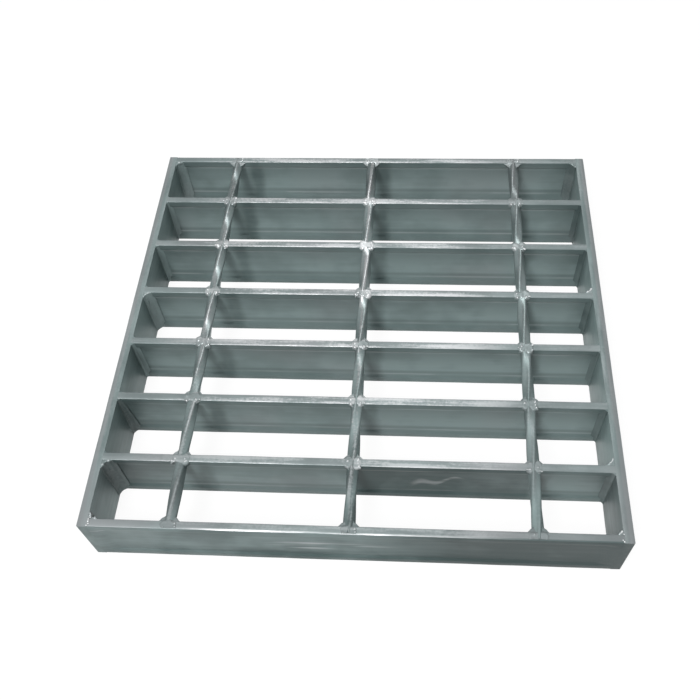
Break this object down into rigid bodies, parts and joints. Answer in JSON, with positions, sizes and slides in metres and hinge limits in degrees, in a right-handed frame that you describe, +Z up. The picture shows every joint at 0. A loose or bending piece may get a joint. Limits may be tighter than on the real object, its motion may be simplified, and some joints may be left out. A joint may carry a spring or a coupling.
{
  "type": "steel grating panel",
  "caption": "Flat rectangular panel of I-section bearing bars with twisted cross rods forge-welded into their tops, closed by a flat bar across each end.",
  "frame": {"origin": "middle of the panel's outline on its underside, which is the level floor it lies on", "axes": "+X along the bearing bars to the right-hand band, +Y along the cross rods to the back, +Z up out of the walking face"},
  "size_m": [0.3, 0.285, 0.0404],
  "materials": {
    "zinc_grid": "hot-dip galvanised, satin",
    "zinc_band": "hot-dip galvanised, satin"
  },
  "bodies": {
    "root": {"bar_grid": "zinc_grid", "left_band": "zinc_band", "right_band": "zinc_band"}
  },
  "joints": []
}
